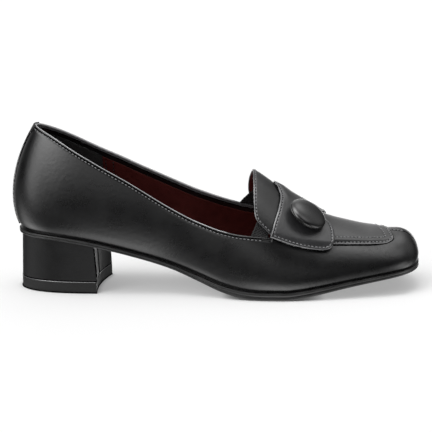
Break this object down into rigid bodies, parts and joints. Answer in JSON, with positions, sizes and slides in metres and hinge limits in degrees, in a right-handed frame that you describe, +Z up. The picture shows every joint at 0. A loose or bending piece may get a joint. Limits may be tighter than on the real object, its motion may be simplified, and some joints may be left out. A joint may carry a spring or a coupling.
{
  "type": "loafer pump",
  "caption": "Women's right loafer pump in black leather with a square toe, low block heel, raised apron and tongue, saddle strap with covered button, elastic gores and burgundy lining.",
  "frame": {"origin": "On the floor, on the rest face of the heel, below the middle of the heel seat.", "axes": "+X towards the toe, +Z up, -Y towards the outer (lateral) side of this right shoe."},
  "size_m": [0.2548, 0.0804, 0.1034],
  "materials": {
    "leather": "smooth black, satin",
    "lining": "dark burgundy, matt",
    "elastic": "black ribbed elastic",
    "sole": "black, satin edge",
    "heel_cover": "black, satin",
    "rubber": "black, matt"
  },
  "bodies": {
    "root": {"upper": "leather", "outsole": "sole", "insole": "lining", "heel": "heel_cover", "heel_tip": "rubber", "apron_tongue": "leather", "saddle_strap": "leather", "button": "leather", "gore_lateral": "elastic", "gore_medial": "elastic", "back_strip": "leather"}
  },
  "joints": []
}
